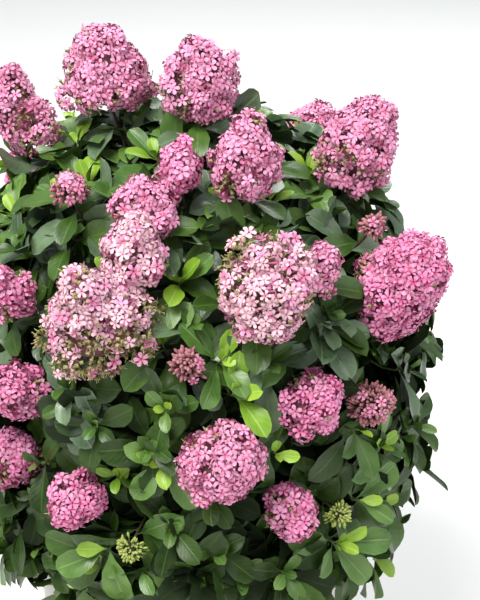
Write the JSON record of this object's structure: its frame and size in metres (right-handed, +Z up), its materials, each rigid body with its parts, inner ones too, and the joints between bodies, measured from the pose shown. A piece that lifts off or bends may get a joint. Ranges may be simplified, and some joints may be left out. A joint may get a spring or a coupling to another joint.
{
  "type": "potted escallonia",
  "caption": "Dense evergreen shrub with glossy leaves and pink flower heads, on one short stem, in a plain round pale pot.",
  "frame": {"origin": "middle of the pot's flat underside, which stands on the ground", "axes": "+Z up; -Y is the front that the picture shows, +X is to the right in the picture"},
  "size_m": [0.4923, 0.4858, 0.7134],
  "materials": {
    "pot": "satin, off-white",
    "compost": "moist and crumbly, dark brown",
    "bark": "matte, finely ridged",
    "foliage": "glossy dark green leaves and pink flower heads"
  },
  "bodies": {
    "root": {"bough_lower_1": "bark", "bough_lower_2": "bark", "bough_lower_3": "bark", "bough_lower_4": "bark", "bough_lower_5": "bark", "bough_lower_6": "bark", "bough_middle_1": "bark", "bough_middle_2": "bark", "bough_middle_3": "bark", "bough_middle_4": "bark", "bough_middle_5": "bark", "bough_middle_6": "bark", "bough_upper_1": "bark", "bough_upper_2": "bark", "bough_upper_3": "bark", "bough_upper_4": "bark", "bough_upper_5": "bark", "compost": "compost", "foliage_lower_1": "foliage", "foliage_lower_2": "foliage", "foliage_lower_3": "foliage", "foliage_lower_4": "foliage", "foliage_lower_5": "foliage", "foliage_lower_6": "foliage", "foliage_middle_1": "foliage", "foliage_middle_2": "foliage", "foliage_middle_3": "foliage", "foliage_middle_4": "foliage", "foliage_middle_5": "foliage", "foliage_middle_6": "foliage", "foliage_top": "foliage", "foliage_upper_1": "foliage", "foliage_upper_2": "foliage", "foliage_upper_3": "foliage", "foliage_upper_4": "foliage", "foliage_upper_5": "foliage", "pot": "pot", "trunk": "bark"}
  },
  "joints": []
}
